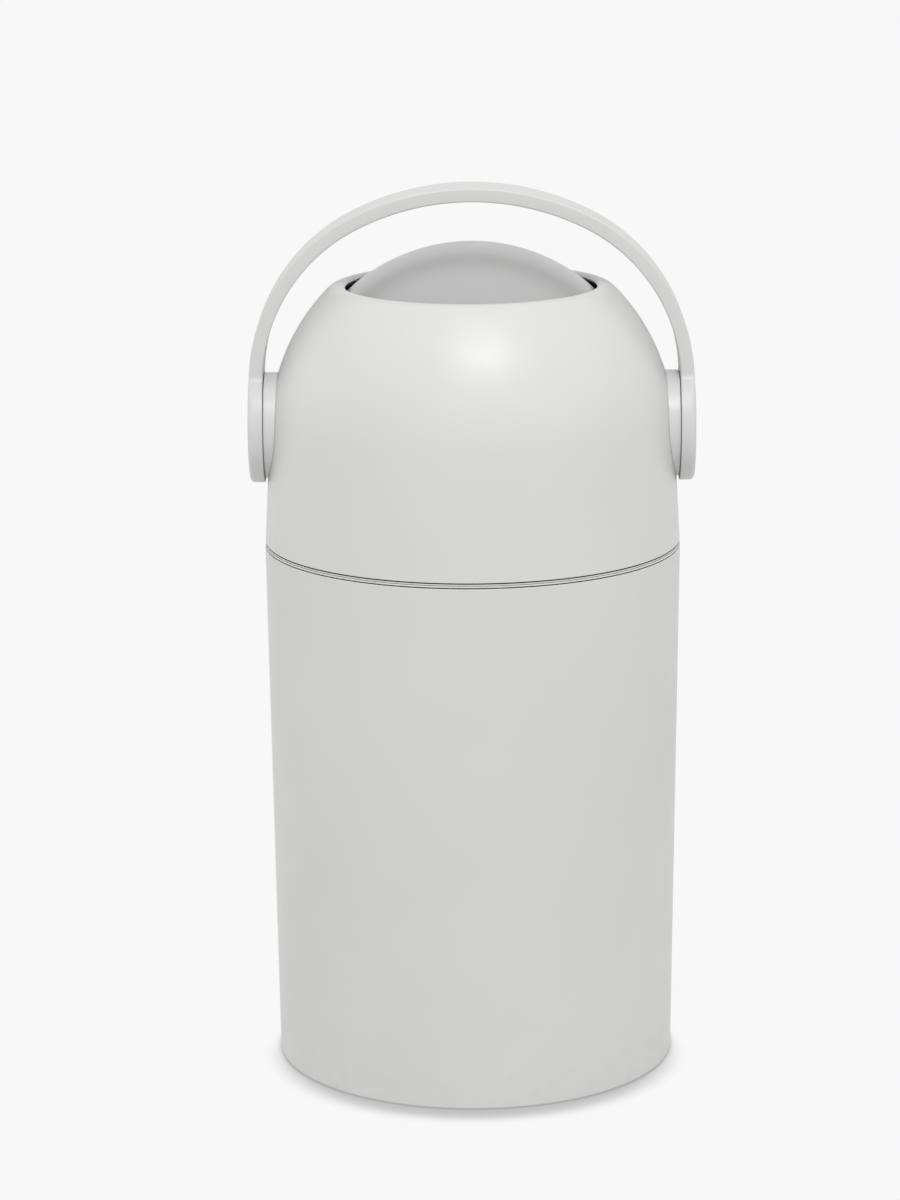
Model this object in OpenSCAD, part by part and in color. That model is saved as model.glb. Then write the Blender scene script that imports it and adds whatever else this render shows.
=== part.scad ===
// Nappy bin with a swing-over handle: the handle turns a ball-shaped drum in the lid,
// and a loose piston in the drum's chute pushes the nappy down into the bag below.
// Millimetres, +Z up, front towards -Y, origin on the floor under the middle of the bin.

/* [Bin body] */
// Outer radius of the body at the floor
base_r = 135.5; // [130:0.1:137]
// Outer radius of the body at its rim
rim_r = 140.2; // [139:0.1:141]
// Height of the rim above the floor
rim_z = 356.4; // [354:0.1:356.4]
// Wall thickness of the body
body_wall = 2.6; // [2:0.1:3]
// Rounding along the bottom edge
base_round = 1.2; // [0.8:0.2:3]
// Height of the rubber pads below the body
pad_proud = 0.8; // [0.5:0.1:1.2]
// Radius of the circle that the rubber pads stand on
pad_circle_r = 123; // [105:1:124]

/* [Lid dome] */
// Radius of the dome's spherical part
dome_r = 135.7; // [135:0.1:137]
// Height of that sphere's centre
dome_centre_z = 434; // [433:0.5:435]
// Slope of the skirt below the sphere, in degrees
skirt_slope = 3.15; // [2.5:0.05:3.5]
// Height of the dome's lower edge
lid_z = 360.2; // [360.1:0.1:360.8]
// Wall thickness of the dome
lid_wall = 3; // [2.4:0.1:3.2]
// Radius of the highest ring of the lip around the opening
crest_r = 87.6; // [86.6:0.2:89]
// Height of that ring
crest_z = 533.2; // [532.6:0.1:533.6]
// Rounding of the lip towards the drum
curl_r = 4; // [3.4:0.2:5]

/* [Drum] */
// Height of the turning axis
axis_z = 438; // [437.5:0.1:438.5]
// Outer radius of the ball-shaped drum
drum_r = 122.5; // [121.5:0.1:122.5]
// Wall thickness of the drum shells
drum_wall = 2.8; // [2.4:0.1:3.2]
// Bore radius of the chute through the drum
chute_r = 68; // [60:0.5:68]
// Wall thickness of the chute tube
chute_wall = 2.5; // [2:0.1:2.5]
// Length of the piston along the chute
piston_l = 24; // [18:1:30]
// Radius of the stub shafts that carry the drum
shaft_r = 12; // [10:0.5:12]

/* [Handle] */
// Height of the top of the handle
handle_top_z = 599; // [597.5:0.25:601]
// Distance from the middle plane to the handle's outer faces
handle_half_w = 149; // [148.6:0.1:150.4]
// Thickness of the handle
handle_t = 9.8; // [9.4:0.1:10.2]
// Width of the strap from front to back
strap_w = 37; // [30:1:42]
// Outer radius of the two corner arcs
haunch_r = 125.2; // [121:0.2:129]
// Outer radius of the crown arc
crown_r = 177.4; // [172:0.2:184]
// Radius of the round ends
end_r = 38.5; // [37:0.5:40]
// Radius of the collars between the lid and the handle
collar_r = 35.5; // [34:0.5:36]

/* [Hidden] */
$fn = 96;

// Gaps: between pieces that move apart, and between a pin or plug and its hole
move_gap = 0.3;
fit_gap = 0.05;
big = 400;

// Body and pads
floor_t = 3;
foot_ring_r = 114;
floor_z = pad_proud + 2 * floor_t;
pad_r = 6;
pad_h = 2.6;
pad_angles = [45:90:315];

// Bag ring: it hangs in the body's mouth and clamps the bag's edge
ring_z = rim_z + 0.1;
ring_top_z = rim_z + 1.75;
ring_edge_t = 1.05;
ring_edge_r = 139.9;
ring_seat_r = 138.9;
ring_skirt_r = 135.4;
ring_skirt_t = 2.2;
ring_skirt_z = 326;
ring_tab_r = 11;

// Lid gasket
gasket_z = ring_top_z + move_gap;
gasket_t = 1.05;
gasket_r = 139.6;
gasket_in_r = 133.6;
gasket_rib_t = 1.4;
groove_r = gasket_in_r + 0.6;
groove_depth = 1.2;

// Drum housing: a bowl that wraps the lower half of the drum
housing_r = drum_r + 1.9;
housing_wall = 2.6;
flange_z = 360;
flange_t = 3;
flange_r = 136.5;
housing_low_z = axis_z - 98.6;
housing_high_z = axis_z - 34;
lid_screw_circle_r = 128.6;
lid_screw_r = 1.95;
lid_screw_head_r = 3.6;
lid_screw_head_t = 2.2;
lid_screw_l = 13;

// Hubs: flat pads in the dome, collars outside it, bushes and shafts through both
hub_pad_x = 127.2;
hub_hole_r = 18.1;
spigot_x = 124;
collar_root_x = 112;
handle_in_x = handle_half_w - handle_t;
collar_x = handle_in_x - move_gap;
bush_r = 15;
bush_flange_t = 1.8;
bush_flange_r = 17.4;
shaft_flange_x = 118.5;
shaft_flange_t = 3;
shaft_flange_r = 26;
drive_w = 15;
drive_x = 144.2;
collar_screw_circle_r = 31;
collar_screw_r = 1.45;
collar_screw_tip_x = 136;
track_r = 26;
lug_r = 1.7;
lug_tip_x = collar_x - 1.2;
track_depth = 2.3;

// Drum: two shells around a chute, and the plates that the shafts bolt to
pole_plate_t = 3;
pole_plate_r = 28;
drum_boss_r = 3.6;
drum_boss_l = 9;
drum_screw_circle_r = 20.5;
drum_screw_r = 1.4;
drum_screw_head_r = 2.8;
drum_screw_head_t = 1.5;
drum_screw_seat = 1.4;
drum_screw_l = 7;
lap_t = 2.2;
lap_in = 6;
lap_out = 4;
lap_gap = 0.4;
chute_half_l = 99;
chute_collar_y = 90;
stop_t = 3;
stop_in_r = chute_r - 3.5;

// Piston: it rests at the rear end of the chute
piston_r = chute_r - 0.4;
piston_web_t = 3;
piston_rim_t = 2.8;
piston_rest_y = chute_half_l - stop_t - move_gap - piston_l / 2;
seal_w = 4;
seal_depth = 1.6;

// Handle
cap_r = 30;
cap_t = 2;
cap_proud = 0.4;
end_round = 3.2;
end_proud = 0.3;
strap_round = 1.2;
strap_t = handle_t - 2 * end_proud;
strap_x = handle_half_w - end_proud;
neck_r = 6;
neck_inset = 1.2;
handle_screw_r = 1.9;
head_t = 2;
head_r = 9.5;

// The dome's own curve: a cone, a sphere, a shoulder arc up to the crest, and a small curl
lid_foot_r = dome_r / cos(skirt_slope) + (dome_centre_z - lid_z) * tan(skirt_slope);
crest_h = crest_z - dome_centre_z;
shoulder_r = (pow(dome_r, 2) - pow(crest_r, 2) - pow(crest_h, 2)) / (2 * (dome_r - crest_h));
shoulder_z = crest_z - shoulder_r;
shoulder_a = atan2(shoulder_z - dome_centre_z, crest_r);
curl_end_a = 150;

// The handle's curve: a crown arc between two corner arcs, upright below them
crown_z = handle_top_z - crown_r;
haunch_x = strap_x - haunch_r;
haunch_z = crown_z + sqrt(pow(crown_r - haunch_r, 2) - pow(haunch_x, 2));
haunch_a = atan2(haunch_z - crown_z, haunch_x);

// Points along an arc in a radius and height plane
function arc(cx, cz, r, a0, a1, n = 12) =
    [for (i = [0:n]) let (a = a0 + (a1 - a0) * i / n) [cx + r * cos(a), cz + r * sin(a)]];

// Outline of the dome's outer face, from its lower edge to the edge of the opening
function dome_outer() = concat(
    [[lid_foot_r, lid_z]],
    arc(0, dome_centre_z, dome_r, skirt_slope, shoulder_a, 30),
    arc(crest_r, shoulder_z, shoulder_r, shoulder_a + 4, 90, 8),
    arc(crest_r, crest_z - curl_r, curl_r, 100, curl_end_a, 5));

// Outer radius of the body at a height
function body_r(z) = base_r + (rim_r - base_r) * z / rim_z;

// A round bar along X from x0 to x1
module bar_x(r, x0, x1) {
    translate([x0, 0, axis_z])
        rotate([0, 90, 0])
            cylinder(r = r, h = x1 - x0);
}

// A round bar along Y from y0 to y1, at the height of the axis
module bar_y(r, y0, y1) {
    translate([0, y1, axis_z])
        rotate([90, 0, 0])
            cylinder(r = r, h = y1 - y0);
}

// Places its children at an angle round the turning axis, on the right-hand side
module round_axis(circle_r, angle) {
    translate([0, circle_r * cos(angle), circle_r * sin(angle)])
        children();
}

// The right-hand side as drawn, or the left-hand side as its mirror image
module side(right) {
    mirror([right ? 0 : 1, 0, 0])
        children();
}

// The dome as a full solid, without its hollow
module dome_solid() {
    rotate_extrude()
        polygon(concat([[0, lid_z]], dome_outer(), [[0, crest_z - curl_r / 2]]));
}

module bin_body() {
    top = rim_z;
    color([0.83, 0.83, 0.81])
        difference() {
            rotate_extrude()
                polygon(concat(
                    [[0, pad_proud + floor_t], [foot_ring_r, pad_proud + floor_t],
                        [foot_ring_r + floor_t, pad_proud]],
                    arc(body_r(base_round) - base_round, pad_proud + base_round, base_round,
                        -90, 0, 8),
                    arc(rim_r - 0.8, top - 0.8, 0.8, 0, 90, 3),
                    [[rim_r - body_wall + 0.4, top], [rim_r - body_wall, top - 0.4]],
                    arc(body_r(floor_z) - body_wall - 3, floor_z + 3, 3, 0, -90, 5),
                    [[0, floor_z]]));
            for (a = pad_angles)
                rotate(a)
                    translate([pad_circle_r, 0, 0])
                        cylinder(r = pad_r + fit_gap, h = pad_h + fit_gap);
        }
}

module foot_pads() {
    color([0.35, 0.35, 0.35])
        for (a = pad_angles)
            rotate(a)
                translate([pad_circle_r, 0, 0])
                    rotate_extrude()
                        polygon([[0, 0], [pad_r - 0.6, 0], [pad_r, 0.6], [pad_r, pad_h], [0, pad_h]]);
}

module bag_ring() {
    in_r = ring_skirt_r - ring_skirt_t;
    color([0.86, 0.86, 0.84]) {
        rotate_extrude()
            polygon([
                [in_r, ring_skirt_z], [ring_skirt_r + 0.8, ring_skirt_z],
                [ring_skirt_r + 0.8, ring_skirt_z + 2], [ring_skirt_r, ring_skirt_z + 3.5],
                [ring_skirt_r, ring_z], [ring_seat_r, ring_z],
                [ring_seat_r, ring_top_z - ring_edge_t], [ring_edge_r, ring_top_z - ring_edge_t],
                [ring_edge_r, ring_top_z], [in_r, ring_top_z]]);
        for (a = [90, 270])
            rotate(a)
                translate([0, 0, ring_top_z - 2])
                    bag_ring_tab(in_r);
    }
}

// A finger tab that points inwards from the ring, with a hole for the fingertip
module bag_ring_tab(in_r) {
    difference() {
        union() {
            translate([in_r - ring_tab_r, 0, 0])
                cylinder(r = ring_tab_r, h = 2);
            translate([in_r - ring_tab_r, -ring_tab_r, 0])
                cube([ring_tab_r + 1, 2 * ring_tab_r, 2]);
        }
        translate([in_r - ring_tab_r, 0, -1])
            cylinder(r = ring_tab_r - 4, h = 4);
    }
}

module lid_dome() {
    in_slope_r = dome_r - lid_wall;
    in_foot_r = lid_foot_r - lid_wall / cos(skirt_slope);
    color([0.86, 0.86, 0.85])
        difference() {
            union() {
                rotate_extrude()
                    polygon(concat(
                        dome_outer(),
                        [seal_face_point()],
                        [[crest_r + (shoulder_r - lid_wall) * cos(60),
                            shoulder_z + (shoulder_r - lid_wall) * sin(60)]],
                        arc(0, dome_centre_z, in_slope_r, shoulder_a, skirt_slope, 30),
                        [[in_foot_r, lid_z]]));
                seal_rib();
                for (s = [true, false])
                    side(s)
                        intersection() {
                            bar_x(collar_r + 1, hub_pad_x, dome_r + 5);
                            dome_solid();
                        }
                for (a = pad_angles)
                    rotate(a)
                        screw_post();
            }
            for (s = [true, false])
                side(s) {
                    bar_x(hub_hole_r, hub_pad_x - 1, dome_r + 5);
                    for (a = [90, 210, 330])
                        round_axis(collar_screw_circle_r, a)
                            bar_x(collar_screw_r + 0.3, hub_pad_x - 1, dome_r + 5);
                }
            for (a = pad_angles)
                rotate(a)
                    translate([lid_screw_circle_r, 0, 0])
                        cylinder(r = lid_screw_r + fit_gap, h = flange_z + lid_screw_l + 4);
        }
}

// The lip's lowest point, which stays clear of the turning drum
function seal_face_point() =
    let (r = drum_r + 2.5, a = 44.3) [r * cos(a), axis_z + r * sin(a)];

// A rib inside the dome that holds the upper seal in place
module seal_rib() {
    rotate_extrude()
        polygon([for (p = [[drum_r + 2.7, 38.8], [drum_r + 8.5, 38.8],
            [drum_r + 8.5, 37.4], [drum_r + 2.7, 37.4]])
            [p[0] * cos(p[1]), axis_z + p[0] * sin(p[1])]]);
}

// A post inside the dome's skirt for a screw, with a web out to the wall
module screw_post() {
    post_r = 4.2;
    web_t = 3;
    low = flange_z + flange_t;
    translate([lid_screw_circle_r, 0, low])
        cylinder(r = post_r, h = lid_screw_l);
    translate([lid_screw_circle_r, -web_t / 2, low])
        cube([lid_foot_r - lid_wall - lid_screw_circle_r, web_t, lid_screw_l]);
}

module drum_housing() {
    out_r = housing_r + housing_wall;
    low_a = asin((housing_low_z - axis_z) / housing_r);
    high_a = asin((housing_high_z - axis_z) / housing_r);
    color([0.72, 0.72, 0.71])
        difference() {
            rotate_extrude()
                polygon(concat(
                    arc(0, axis_z, housing_r, low_a, high_a, 20),
                    arc(0, axis_z, out_r, high_a, asin((flange_z + flange_t - axis_z) / out_r), 10),
                    [[flange_r, flange_z + flange_t], [flange_r, flange_z],
                        [groove_r + gasket_rib_t, flange_z],
                        [groove_r + gasket_rib_t, flange_z + groove_depth],
                        [groove_r, flange_z + groove_depth], [groove_r, flange_z]],
                    arc(0, axis_z, out_r, asin((flange_z - axis_z) / out_r), low_a, 6)));
            for (a = pad_angles)
                rotate(a)
                    translate([lid_screw_circle_r, 0, 0]) {
                        cylinder(r = lid_screw_r + 0.3, h = flange_z + flange_t + 1);
                        cylinder(r = lid_screw_head_r + 0.2, h = flange_z + groove_depth);
                    }
        }
}

module rim_gasket() {
    color([0.80, 0.80, 0.79])
        rotate_extrude()
            polygon([
                [gasket_in_r, gasket_z], [gasket_r, gasket_z], [gasket_r, gasket_z + gasket_t],
                [flange_r + 0.2, gasket_z + gasket_t], [flange_r + 0.2, flange_z],
                [groove_r + gasket_rib_t, flange_z],
                [groove_r + gasket_rib_t, flange_z + groove_depth],
                [groove_r, flange_z + groove_depth], [groove_r, flange_z],
                [gasket_in_r, flange_z]]);
}

module upper_seal() {
    wipe_r = drum_r + move_gap;
    back_r = drum_r + 2.4;
    tongue_r = drum_r + 7.2;
    color([0.55, 0.55, 0.55])
        rotate_extrude()
            polygon(concat(
                arc(0, axis_z, wipe_r, 44, 39, 4),
                arc(0, axis_z, tongue_r, 39, 41, 2),
                arc(0, axis_z, back_r, 41, 44, 3)));
}

module lower_seal() {
    wipe_r = drum_r + move_gap;
    back_r = housing_r - 0.08;
    heel_r = housing_r + housing_wall;
    low_a = asin((housing_low_z - axis_z) / housing_r);
    heel_a = low_a - 0.15;
    color([0.55, 0.55, 0.55])
        rotate_extrude()
            polygon(concat(
                arc(0, axis_z, heel_r, heel_a - 1, heel_a, 1),
                arc(0, axis_z, back_r, heel_a, low_a + 6, 5),
                arc(0, axis_z, wipe_r, low_a + 6, heel_a - 1, 5)));
}

module hub_collar() {
    color([0.88, 0.88, 0.88])
        difference() {
            union() {
                difference() {
                    bar_x(collar_r, collar_root_x, collar_x);
                    dome_solid();
                }
                bar_x(hub_hole_r - 0.1, spigot_x, collar_x);
            }
            bar_x(bush_r, spigot_x - 1, collar_x + 1);
            stop_track();
            for (a = [90, 210, 330])
                round_axis(collar_screw_circle_r, a)
                    bar_x(collar_screw_r + fit_gap, collar_root_x, collar_screw_tip_x + 0.3);
        }
}

// The half-round groove that the handle's lug runs in, closed at both ends
module stop_track() {
    slot_r = lug_r + move_gap;
    difference() {
        bar_x(track_r + slot_r, collar_x - track_depth, collar_x + 1);
        bar_x(track_r - slot_r, collar_x - track_depth - 1, collar_x + 2);
        translate([0, -big / 2, axis_z])
            cube([big, big, big]);
    }
    for (a = [0, 180])
        round_axis(track_r, a)
            bar_x(slot_r, collar_x - track_depth, collar_x + 1);
}

module bearing_bush() {
    color([0.93, 0.92, 0.88])
        difference() {
            union() {
                bar_x(bush_r, spigot_x, collar_x);
                bar_x(bush_flange_r, spigot_x - bush_flange_t, spigot_x);
            }
            bar_x(shaft_r + fit_gap, spigot_x - 5, collar_x + 1);
        }
}

module lid_screws() {
    head_z = flange_z + groove_depth;
    color([0.7, 0.7, 0.72])
        for (a = pad_angles)
            rotate(a)
                translate([lid_screw_circle_r, 0, 0])
                    difference() {
                        union() {
                            translate([0, 0, head_z])
                                cylinder(r = lid_screw_r, h = lid_screw_l);
                            translate([0, 0, head_z - lid_screw_head_t])
                                cylinder(r = lid_screw_head_r, h = lid_screw_head_t);
                        }
                        cross_recess([0, 0, head_z - lid_screw_head_t], 3.4, 1.2);
                    }
}

// A cross-shaped driver recess, cut upwards from a point into a screw head
module cross_recess(at, w, depth) {
    translate(at)
        for (a = [0, 90])
            rotate(a)
                translate([-w / 2, -w / 8, -1])
                    cube([w, w / 4, depth + 1]);
}

module collar_screws() {
    color([0.7, 0.7, 0.72])
        for (s = [true, false])
            side(s)
                for (a = [90, 210, 330])
                    round_axis(collar_screw_circle_r, a)
                        difference() {
                            union() {
                                bar_x(collar_screw_r, hub_pad_x, collar_screw_tip_x);
                                bar_x(2 * collar_screw_r, hub_pad_x - 2, hub_pad_x);
                            }
                            translate([hub_pad_x - 2, 0, axis_z])
                                rotate([0, 90, 0])
                                    cross_recess([0, 0, 0], 3, 1);
                        }
}

// Turns an outline of radius and distance round the chute's axis, to the back or the front
module turned_y(way) {
    translate([0, 0, axis_z])
        rotate([way > 0 ? -90 : 90, 0, 0])
            rotate_extrude()
                children();
}

// One half of the drum: a shell with a round mouth and a short collar that holds the chute
module drum_shell(way) {
    mouth_r = chute_r + chute_wall + fit_gap;
    collar_out_r = mouth_r + chute_wall;
    in_r = drum_r - drum_wall;
    difference() {
        union() {
            turned_y(way)
                polygon(concat(
                    arc(0, 0, drum_r, 0, acos(mouth_r / drum_r), 24),
                    [[mouth_r, chute_collar_y], [collar_out_r, chute_collar_y]],
                    arc(0, 0, in_r, acos(collar_out_r / in_r), 0, 24)));
            intersection() {
                for (s = [true, false])
                    side(s)
                        pole_plate();
                translate([-drum_r, way > 0 ? 0 : -drum_r, axis_z - drum_r])
                    cube([2 * drum_r, drum_r, 2 * drum_r]);
            }
        }
        for (s = [true, false])
            side(s) {
                bar_x(pole_plate_r + 10, shaft_flange_x, drum_r + 5);
                for (a = [45:90:315])
                    round_axis(drum_screw_circle_r, a)
                        bar_x(drum_screw_r + fit_gap, shaft_flange_x - drum_screw_l - 1, shaft_flange_x + 1);
            }
    }
}

// The plate inside the drum's side that a shaft is screwed to, with its four screw bosses
module pole_plate() {
    bar_x(pole_plate_r, shaft_flange_x - pole_plate_t, shaft_flange_x + 1);
    for (a = [45:90:315])
        round_axis(drum_screw_circle_r, a)
            bar_x(drum_boss_r, shaft_flange_x - drum_boss_l, shaft_flange_x);
}

module drum_front_shell() {
    color([0.73, 0.73, 0.73]) {
        drum_shell(-1);
        drum_lap();
    }
}

module drum_rear_shell() {
    color([0.73, 0.73, 0.73])
        drum_shell(1);
}

// The front shell's inner lip, which reaches into the rear shell along the joint
module drum_lap() {
    shell_in_r = drum_r - drum_wall;
    in_r = shell_in_r - lap_t;
    difference() {
        turned_y(-1)
            polygon([
                [in_r, lap_in], [shell_in_r + drum_wall / 3, lap_in],
                [shell_in_r + drum_wall / 3, lap_gap], [shell_in_r - lap_gap, lap_gap],
                [shell_in_r - lap_gap, -lap_out], [in_r, -lap_out]]);
        for (s = [true, false])
            side(s)
                bar_x(pole_plate_r + 3, in_r - 20, drum_r);
    }
}

module chute_tube() {
    color([0.80, 0.80, 0.79])
        difference() {
            bar_y(chute_r + chute_wall, -chute_half_l, chute_half_l);
            bar_y(chute_r, -chute_half_l - 1, chute_half_l + 1);
        }
}

// A snap ring at one end of the chute, which stops the piston
module stop_ring(way) {
    end_y = way * chute_half_l;
    in_y = way * (chute_half_l - stop_t);
    color([0.62, 0.62, 0.62])
        difference() {
            bar_y(chute_r, min(end_y, in_y), max(end_y, in_y));
            bar_y(stop_in_r, -chute_half_l - 1, chute_half_l + 1);
        }
}

module stub_shaft() {
    flange_out_x = shaft_flange_x + shaft_flange_t;
    color([0.9, 0.9, 0.88])
        difference() {
            union() {
                bar_x(shaft_flange_r, shaft_flange_x, flange_out_x);
                bar_x(shaft_r, shaft_flange_x, handle_in_x);
                translate([handle_in_x, -drive_w / 2, axis_z - drive_w / 2])
                    cube([drive_x - handle_in_x, drive_w, drive_w]);
            }
            bar_x(handle_screw_r + fit_gap, shaft_flange_x + 6, drive_x + 1);
            for (a = [45:90:315])
                round_axis(drum_screw_circle_r, a) {
                    bar_x(drum_screw_r + 0.2, shaft_flange_x - 1, flange_out_x + 1);
                    bar_x(drum_screw_head_r + 0.15, shaft_flange_x + drum_screw_seat, flange_out_x + 1);
                }
        }
}

module drum_screws() {
    head_x = shaft_flange_x + drum_screw_seat;
    top_x = head_x + drum_screw_head_t;
    color([0.7, 0.7, 0.72])
        for (s = [true, false])
            side(s)
                for (a = [45:90:315])
                    round_axis(drum_screw_circle_r, a)
                        difference() {
                            union() {
                                bar_x(drum_screw_r, shaft_flange_x - drum_screw_l, head_x);
                                bar_x(drum_screw_head_r, head_x, top_x);
                            }
                            translate([top_x, 0, axis_z])
                                rotate([0, -90, 0])
                                    cross_recess([0, 0, 0], 3, 0.8);
                        }
}

// Section of the strap, a rectangle with rounded edges, with its outer face at r.
// A small inset on every side lets one stretch plug into the end of the next.
module strap_section(r, inset = 0) {
    c = strap_round;
    out_x = r - inset - c;
    in_x = r - strap_t + inset + c;
    y = strap_w / 2 - inset - c;
    polygon(concat(
        arc(out_x, y, c, 0, 90, 4),
        arc(in_x, y, c, 90, 180, 4),
        arc(in_x, -y, c, 180, 270, 4),
        arc(out_x, -y, c, 270, 360, 4)));
}

// A stretch of the strap bent round a centre in the upright plane, between two angles
module strap_arc(cx, cz, r, from, to, inset = 0) {
    translate([cx, 0, cz])
        rotate([90, 0, 0])
            rotate(from)
                rotate_extrude(angle = to - from)
                    strap_section(r, inset);
}

// One round end of the handle, with its edges rounded
module handle_end() {
    translate([0, 0, axis_z])
        rotate([0, 90, 0])
            rotate_extrude()
                polygon(concat(
                    [[0, handle_in_x]],
                    arc(end_r - 1, handle_in_x + 1, 1, -90, 0, 4),
                    arc(end_r - end_round, handle_half_w - end_round, end_round, 0, 90, 6),
                    [[0, handle_half_w]]));
}

// The two hollow corners where the strap leaves a round end
module handle_neck() {
    y = strap_w / 2;
    z = sqrt(pow(end_r + neck_r, 2) - pow(y + neck_r, 2));
    in_z = end_r - 10;
    for (way = [0, 1])
        mirror([0, way, 0])
            translate([handle_in_x + neck_inset, 0, axis_z])
                rotate([90, 0, 90])
                    linear_extrude(height = handle_t - 2 * neck_inset)
                        polygon(concat(
                            [[y - strap_round, in_z]],
                            [[(y + neck_r) * end_r / (end_r + neck_r) - 2, in_z]],
                            arc(y + neck_r, z, neck_r, 180 + atan2(z, y + neck_r), 180, 6),
                            [[y - strap_round, z]]));
}

module handle() {
    leg_z = axis_z + end_r - 14;
    color([0.86, 0.86, 0.85])
        difference() {
            union() {
                strap_arc(0, crown_z, crown_r, haunch_a - 1, 181 - haunch_a, 0.03);
                for (s = [true, false])
                    side(s) {
                        strap_arc(haunch_x, haunch_z, haunch_r, 0, haunch_a);
                        translate([0, 0, leg_z])
                            linear_extrude(height = haunch_z - leg_z)
                                strap_section(strap_x);
                        handle_end();
                        handle_neck();
                        round_axis(track_r, -90)
                            bar_x(lug_r, lug_tip_x, handle_in_x + 1);
                    }
            }
            for (s = [true, false])
                side(s) {
                    bar_x(cap_r + 0.1, handle_half_w - cap_t, handle_half_w + 1);
                    bar_x(head_r + 0.3, drive_x + 0.3, handle_half_w);
                    translate([handle_in_x - 1, -drive_w / 2 - fit_gap, axis_z - drive_w / 2 - fit_gap])
                        cube([12, drive_w + 2 * fit_gap, drive_w + 2 * fit_gap]);
                }
        }
}

module handle_cap() {
    color([0.87, 0.87, 0.86])
        translate([0, 0, axis_z])
            rotate([0, 90, 0])
                rotate_extrude()
                    polygon(concat(
                        [[0, handle_half_w - cap_t], [cap_r, handle_half_w - cap_t]],
                        [[cap_r, handle_half_w]],
                        arc(cap_r - cap_proud, handle_half_w, cap_proud, 30, 90, 3),
                        [[0, handle_half_w + cap_proud]]));
}

module handle_screws() {
    head_x = drive_x + 0.3;
    color([0.7, 0.7, 0.72])
        for (s = [true, false])
            side(s)
                difference() {
                    union() {
                        bar_x(handle_screw_r, shaft_flange_x + 8, head_x);
                        bar_x(head_r, head_x, head_x + head_t);
                    }
                    translate([head_x + head_t, 0, axis_z])
                        rotate([0, -90, 0])
                            cross_recess([0, 0, 0], 6, 1.4);
                }
}

module piston() {
    y0 = piston_rest_y - piston_l / 2;
    y1 = piston_rest_y + piston_l / 2;
    color([0.66, 0.66, 0.66])
        difference() {
            bar_y(piston_r, y0, y1);
            bar_y(piston_r - piston_rim_t, y0 - 1, piston_rest_y - piston_web_t / 2);
            bar_y(piston_r - piston_rim_t, piston_rest_y + piston_web_t / 2, y1 + 1);
            difference() {
                bar_y(piston_r + 1, piston_rest_y - seal_w / 2, piston_rest_y + seal_w / 2);
                bar_y(piston_r - seal_depth, y0, y1);
            }
        }
}

module piston_seal() {
    color([0.4, 0.4, 0.4])
        difference() {
            bar_y(chute_r - move_gap, piston_rest_y - seal_w / 2, piston_rest_y + seal_w / 2);
            bar_y(piston_r - seal_depth, piston_rest_y - seal_w, piston_rest_y + seal_w);
        }
}

bin_body();
foot_pads();
bag_ring();
lid_dome();
drum_housing();
rim_gasket();
upper_seal();
lower_seal();
side(false) hub_collar();  // hub_collar_left
side(true) hub_collar();  // hub_collar_right
side(false) bearing_bush();  // bearing_bush_left
side(true) bearing_bush();  // bearing_bush_right
lid_screws();
collar_screws();
drum_front_shell();
drum_rear_shell();
chute_tube();
stop_ring(-1);  // front_stop_ring
stop_ring(1);  // rear_stop_ring
side(false) stub_shaft();  // stub_shaft_left
side(true) stub_shaft();  // stub_shaft_right
handle();
side(false) handle_cap();  // handle_cap_left
side(true) handle_cap();  // handle_cap_right
handle_screws();
drum_screws();
piston();
piston_seal();
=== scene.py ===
from math import acos, asin, atan2, cos, pi, radians, sin, sqrt, tan

import bmesh
import bpy
import numpy as np
from mathutils import Matrix, Vector


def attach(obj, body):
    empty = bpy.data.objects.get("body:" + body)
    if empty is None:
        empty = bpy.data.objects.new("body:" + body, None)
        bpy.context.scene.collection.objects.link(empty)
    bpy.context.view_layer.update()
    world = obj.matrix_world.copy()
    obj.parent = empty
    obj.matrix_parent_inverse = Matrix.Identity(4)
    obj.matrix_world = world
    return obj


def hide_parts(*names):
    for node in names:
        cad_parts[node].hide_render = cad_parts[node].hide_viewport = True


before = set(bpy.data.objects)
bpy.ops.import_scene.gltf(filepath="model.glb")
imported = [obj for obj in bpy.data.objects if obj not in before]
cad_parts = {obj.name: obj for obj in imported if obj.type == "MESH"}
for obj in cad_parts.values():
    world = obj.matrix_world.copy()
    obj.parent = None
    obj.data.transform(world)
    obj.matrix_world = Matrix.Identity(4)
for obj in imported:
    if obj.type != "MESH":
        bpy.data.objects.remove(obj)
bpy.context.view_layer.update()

# Camera. It stands 2.6 m in front of the bin and a third of a metre above the handle, and
# looks down by 13.4 degrees through a long lens, so that the bin's sides stay nearly upright.
lens_place = Vector((0.0, -2.6300, 0.9438))
lens_pitch, lens_yaw, lens_roll = radians(13.4232), radians(-0.3406), radians(-0.4347)
ahead = Vector((sin(lens_yaw) * cos(lens_pitch), cos(lens_yaw) * cos(lens_pitch), -sin(lens_pitch)))
level = Vector((cos(lens_yaw), -sin(lens_yaw), 0.0))
over = level.cross(ahead)
right_hand = level * cos(lens_roll) + over * sin(lens_roll)
upward = over * cos(lens_roll) - level * sin(lens_roll)
lens = bpy.data.cameras.new("product_lens")
lens.lens, lens.sensor_width = 119.34, 36.0
lens.clip_start, lens.clip_end = 0.1, 100.0
camera = bpy.data.objects.new("camera", lens)
camera.matrix_world = Matrix((
    (right_hand.x, upward.x, -ahead.x, lens_place.x),
    (right_hand.y, upward.y, -ahead.y, lens_place.y),
    (right_hand.z, upward.z, -ahead.z, lens_place.z),
    (0.0, 0.0, 0.0, 1.0)))
bpy.context.scene.collection.objects.link(camera)
bpy.context.scene.camera = camera
bpy.context.scene.view_settings.view_transform = "Standard"


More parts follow.
